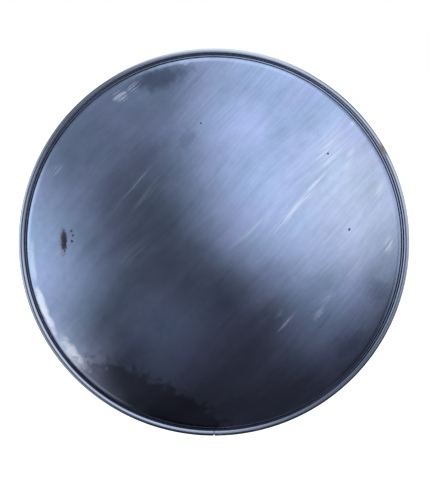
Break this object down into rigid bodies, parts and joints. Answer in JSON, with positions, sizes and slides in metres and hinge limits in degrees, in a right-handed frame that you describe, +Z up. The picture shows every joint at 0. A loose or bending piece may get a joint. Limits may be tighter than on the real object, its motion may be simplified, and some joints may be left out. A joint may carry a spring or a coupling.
{
  "type": "traffic convex mirror",
  "caption": "Round convex road mirror of polished stainless steel with a rolled rim, on a steel bracket that clamps to a post and lets the mirror turn and tilt.",
  "frame": {"origin": "centre of the bracket plate's back face, where it bears on the post", "axes": "+Z up along the post; +Y from the plate into the post; the mirror looks along -Y; +X to the right seen from the front"},
  "size_m": [0.6, 0.3089, 0.6],
  "materials": {
    "polished_stainless": "polished stainless steel, hazed by fine diagonal wiping marks, with a little rust staining",
    "hoop_stainless": "rolled stainless steel, satin, lightly weathered",
    "galvanised_steel": "galvanised sheet steel with a faint spangle",
    "cast_galvanised": "malleable casting, hot-dip galvanised, slightly rough",
    "zinc_plated": "bright zinc plating on threaded fasteners",
    "nylon": "natural nylon washer",
    "rubber": "black weathered rubber edging"
  },
  "bodies": {
    "post_mount": {"post_bracket": "galvanised_steel", "swivel_bolt": "zinc_plated", "swivel_head_washer": "zinc_plated", "swivel_nut_washer": "zinc_plated", "swivel_spring_washer": "zinc_plated", "swivel_nut": "zinc_plated", "u_bolt_upper": "zinc_plated", "u_bolt_lower": "zinc_plated", "u_bolt_washer_1": "zinc_plated", "u_bolt_washer_2": "zinc_plated", "u_bolt_washer_3": "zinc_plated", "u_bolt_washer_4": "zinc_plated", "u_bolt_nut_1": "zinc_plated", "u_bolt_nut_2": "zinc_plated", "u_bolt_nut_3": "zinc_plated", "u_bolt_nut_4": "zinc_plated"},
    "swivel_arm": {"swivel_block": "cast_galvanised", "tilt_friction_washer_left": "nylon", "tilt_friction_washer_right": "nylon", "swivel_friction_washer_upper": "nylon", "swivel_friction_washer_lower": "nylon"},
    "mirror_head": {"mirror_dish": "polished_stainless", "rim_seal": "rubber", "rim_hoop": "hoop_stainless", "hoop_lug_left": "hoop_stainless", "hoop_lug_right": "hoop_stainless", "hoop_bolt": "zinc_plated", "hoop_nut": "zinc_plated", "back_pan": "galvanised_steel", "backing_plate": "galvanised_steel", "tilt_yoke": "galvanised_steel", "carriage_bolt_1": "zinc_plated", "carriage_bolt_2": "zinc_plated", "carriage_bolt_3": "zinc_plated", "carriage_bolt_4": "zinc_plated", "yoke_washer_1": "zinc_plated", "yoke_washer_2": "zinc_plated", "yoke_washer_3": "zinc_plated", "yoke_washer_4": "zinc_plated", "yoke_nut_1": "zinc_plated", "yoke_nut_2": "zinc_plated", "yoke_nut_3": "zinc_plated", "yoke_nut_4": "zinc_plated", "tilt_bolt": "zinc_plated", "tilt_head_washer": "zinc_plated", "tilt_nut_washer": "zinc_plated", "tilt_spring_washer": "zinc_plated", "tilt_nut": "zinc_plated"}
  },
  "joints": [
    {"name": "swivel", "type": "hinge", "parent": "post_mount", "child": "swivel_arm", "pos_m": [0, -0.042, 0], "axis": [0, 0, 1], "range_deg": [-50, 50]},
    {"name": "tilt", "type": "hinge", "parent": "swivel_arm", "child": "mirror_head", "pos_m": [0, -0.092, 0], "axis": [1, 0, 0], "range_deg": [-25, 25]}
  ]
}
